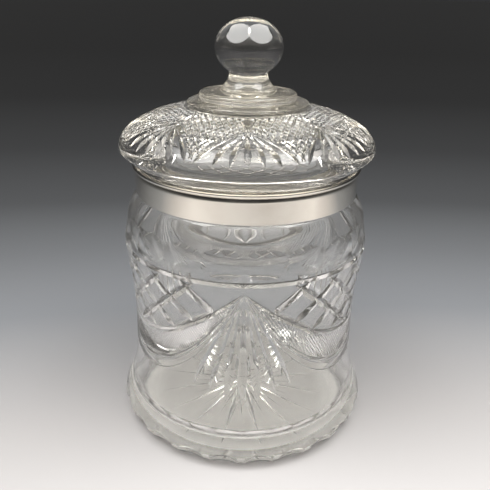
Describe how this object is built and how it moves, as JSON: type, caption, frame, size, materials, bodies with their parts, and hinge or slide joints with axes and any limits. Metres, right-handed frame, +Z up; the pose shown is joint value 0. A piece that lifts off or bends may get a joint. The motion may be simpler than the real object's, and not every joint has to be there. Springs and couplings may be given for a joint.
{
  "type": "biscuit jar",
  "caption": "Waisted cut-glass biscuit jar with a flared foot, a silver collar round its neck and a lift-off domed lid with a ball knob.",
  "frame": {"origin": "on the table, at the centre of the foot", "axes": "+Z up along the jar's axis; a palm of long mitres faces -Y"},
  "size_m": [0.1516, 0.1516, 0.2299],
  "materials": {
    "vessel_glass": "clear lead crystal, polished, with mitre cuts",
    "lid_glass": "clear lead crystal, polished, with mitre cuts",
    "silver": "polished sterling silver with light wear",
    "plaster": "matt plaster of Paris"
  },
  "bodies": {
    "jar": {"jar_body": "vessel_glass", "collar_bedding": "plaster", "collar_band": "silver", "collar_rim": "silver"},
    "lid": {"lid_dome": "lid_glass", "lid_merese": "lid_glass", "lid_knob": "lid_glass"}
  },
  "joints": [
    {"name": "lid_lift", "type": "slide", "parent": "jar", "child": "lid", "axis": [0, 0, 1], "range_m": [0, 0.08]}
  ]
}
